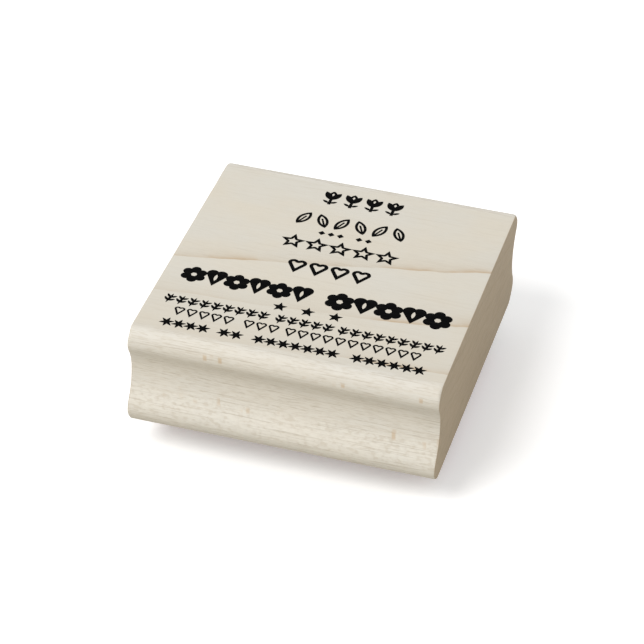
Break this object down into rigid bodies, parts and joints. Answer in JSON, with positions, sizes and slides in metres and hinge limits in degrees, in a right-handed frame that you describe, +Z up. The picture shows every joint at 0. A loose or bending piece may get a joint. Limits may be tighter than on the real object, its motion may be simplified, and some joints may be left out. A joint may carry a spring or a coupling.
{
  "type": "rubber stamp",
  "caption": "Wood-mounted craft stamp: moulded maple block with finger grips, foam cushion and moulded rubber die, with the ornament shown in ink on its top.",
  "frame": {"origin": "centre of the printing face, on the plane the stamp stands on", "axes": "+Z up through the block; +X along the grain of the wood; -Y towards the user when the ornament on the top is the right way up"},
  "size_m": [0.0508, 0.0546, 0.0238],
  "materials": {
    "maple": "sanded, unfinished",
    "ink": "dry printed ink",
    "adhesive": "clear film, tacky",
    "foam": "closed-cell foam, cut edges",
    "red_rubber": "moulded, satin"
  },
  "bodies": {
    "root": {"wood_block": "maple", "index_print": "ink", "block_adhesive": "adhesive", "foam_cushion": "foam", "die_adhesive": "adhesive", "rubber_die": "red_rubber"}
  },
  "joints": []
}
